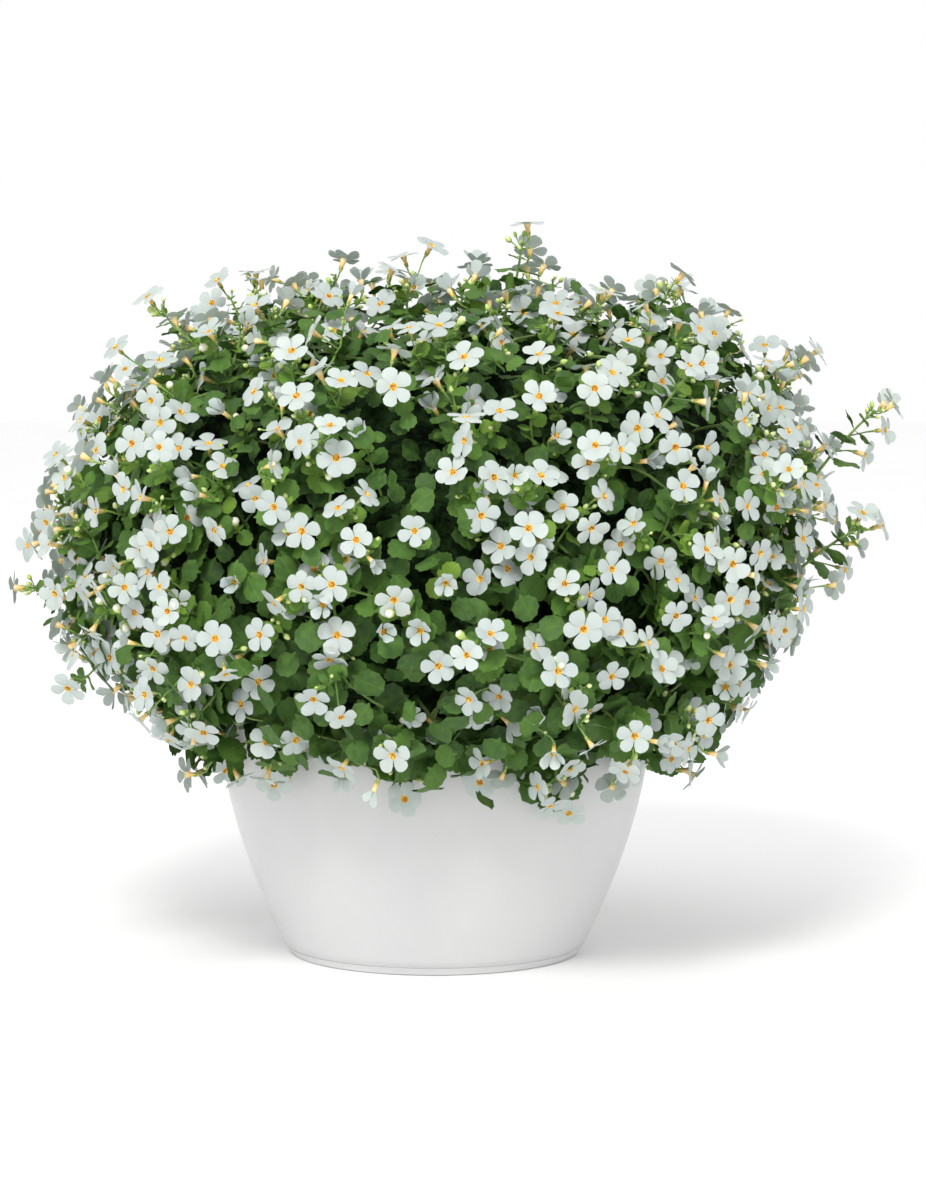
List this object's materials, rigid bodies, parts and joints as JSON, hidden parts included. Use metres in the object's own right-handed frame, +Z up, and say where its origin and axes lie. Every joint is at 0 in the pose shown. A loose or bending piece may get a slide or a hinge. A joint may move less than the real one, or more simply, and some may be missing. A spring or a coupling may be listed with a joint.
{
  "type": "potted bacopa plant",
  "caption": "Bacopa plant in a tapered round pot: a wide mound of small toothed leaves and lobed white blooms that spills over the rim on all sides.",
  "frame": {"origin": "centre of the pot's flat base, on the ground", "axes": "+Z up along the pot's axis, -Y towards the front of the plant"},
  "size_m": [0.4858, 0.4679, 0.4019],
  "materials": {
    "pot_plastic": "satin",
    "potting_soil": "loose moist mix of bark and peat",
    "leaves_and_blooms": "soft matte leaf, with white blooms"
  },
  "bodies": {
    "root": {"crown_branch": "leaves_and_blooms", "middle_branch_01": "leaves_and_blooms", "middle_branch_02": "leaves_and_blooms", "middle_branch_03": "leaves_and_blooms", "middle_branch_04": "leaves_and_blooms", "middle_branch_05": "leaves_and_blooms", "middle_branch_06": "leaves_and_blooms", "middle_branch_07": "leaves_and_blooms", "middle_branch_08": "leaves_and_blooms", "pot": "pot_plastic", "skirt_branch_01": "leaves_and_blooms", "skirt_branch_02": "leaves_and_blooms", "skirt_branch_03": "leaves_and_blooms", "skirt_branch_04": "leaves_and_blooms", "skirt_branch_05": "leaves_and_blooms", "skirt_branch_06": "leaves_and_blooms", "skirt_branch_07": "leaves_and_blooms", "skirt_branch_08": "leaves_and_blooms", "skirt_branch_09": "leaves_and_blooms", "skirt_branch_10": "leaves_and_blooms", "skirt_branch_11": "leaves_and_blooms", "skirt_branch_12": "leaves_and_blooms", "soil": "potting_soil", "upper_branch_01": "leaves_and_blooms", "upper_branch_02": "leaves_and_blooms", "upper_branch_03": "leaves_and_blooms", "upper_branch_04": "leaves_and_blooms", "upper_branch_05": "leaves_and_blooms"}
  },
  "joints": []
}
